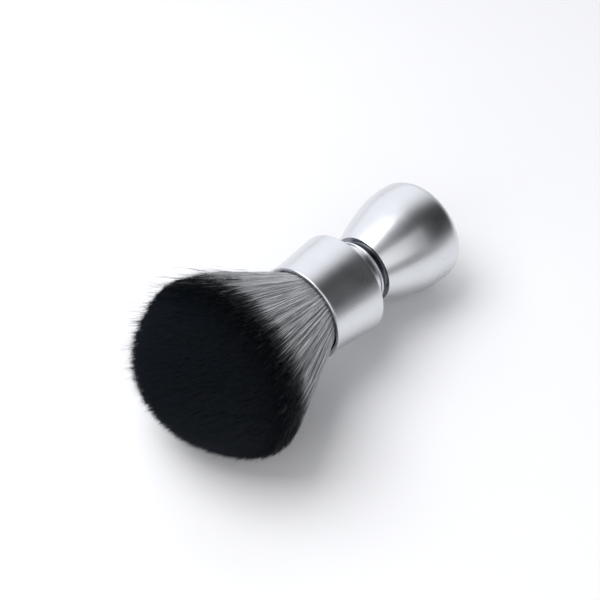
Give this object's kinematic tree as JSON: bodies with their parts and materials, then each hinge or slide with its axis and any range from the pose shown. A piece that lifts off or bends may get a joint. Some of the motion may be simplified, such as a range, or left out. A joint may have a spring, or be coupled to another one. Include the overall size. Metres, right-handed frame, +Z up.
{
  "type": "neck duster brush",
  "caption": "Short neck duster brush: wide domed head of soft fibres in a conical metal ferrule, on a turned handle with a beaded waist and a rounded bulb.",
  "frame": {"origin": "bottom centre of the bounding box, on the surface that the brush lies on", "axes": "+X towards the handle's flat end, +Z up; the bristles point to -X and the brush's own axis slopes down to +X by 6.5 degrees"},
  "size_m": [0.1212, 0.0604, 0.0585],
  "materials": {
    "satin_silver": "satin, bead blasted and anodised",
    "plain_steel": "turned",
    "brass": "turned",
    "cup_plastic": "moulded",
    "resin": "cast",
    "bristle_fibre": "fine drawn synthetic fibre, grey flank and blue-black tips"
  },
  "bodies": {
    "root": {"ferrule": "satin_silver", "handle_body": "satin_silver", "base_cap": "satin_silver", "weight_slug": "plain_steel", "clamp_screw": "plain_steel", "lock_washer": "plain_steel", "threaded_insert": "brass", "knot_cup": "cup_plastic", "resin_plug": "resin", "knot_band": "cup_plastic", "bristle_head": "bristle_fibre"}
  },
  "joints": []
}
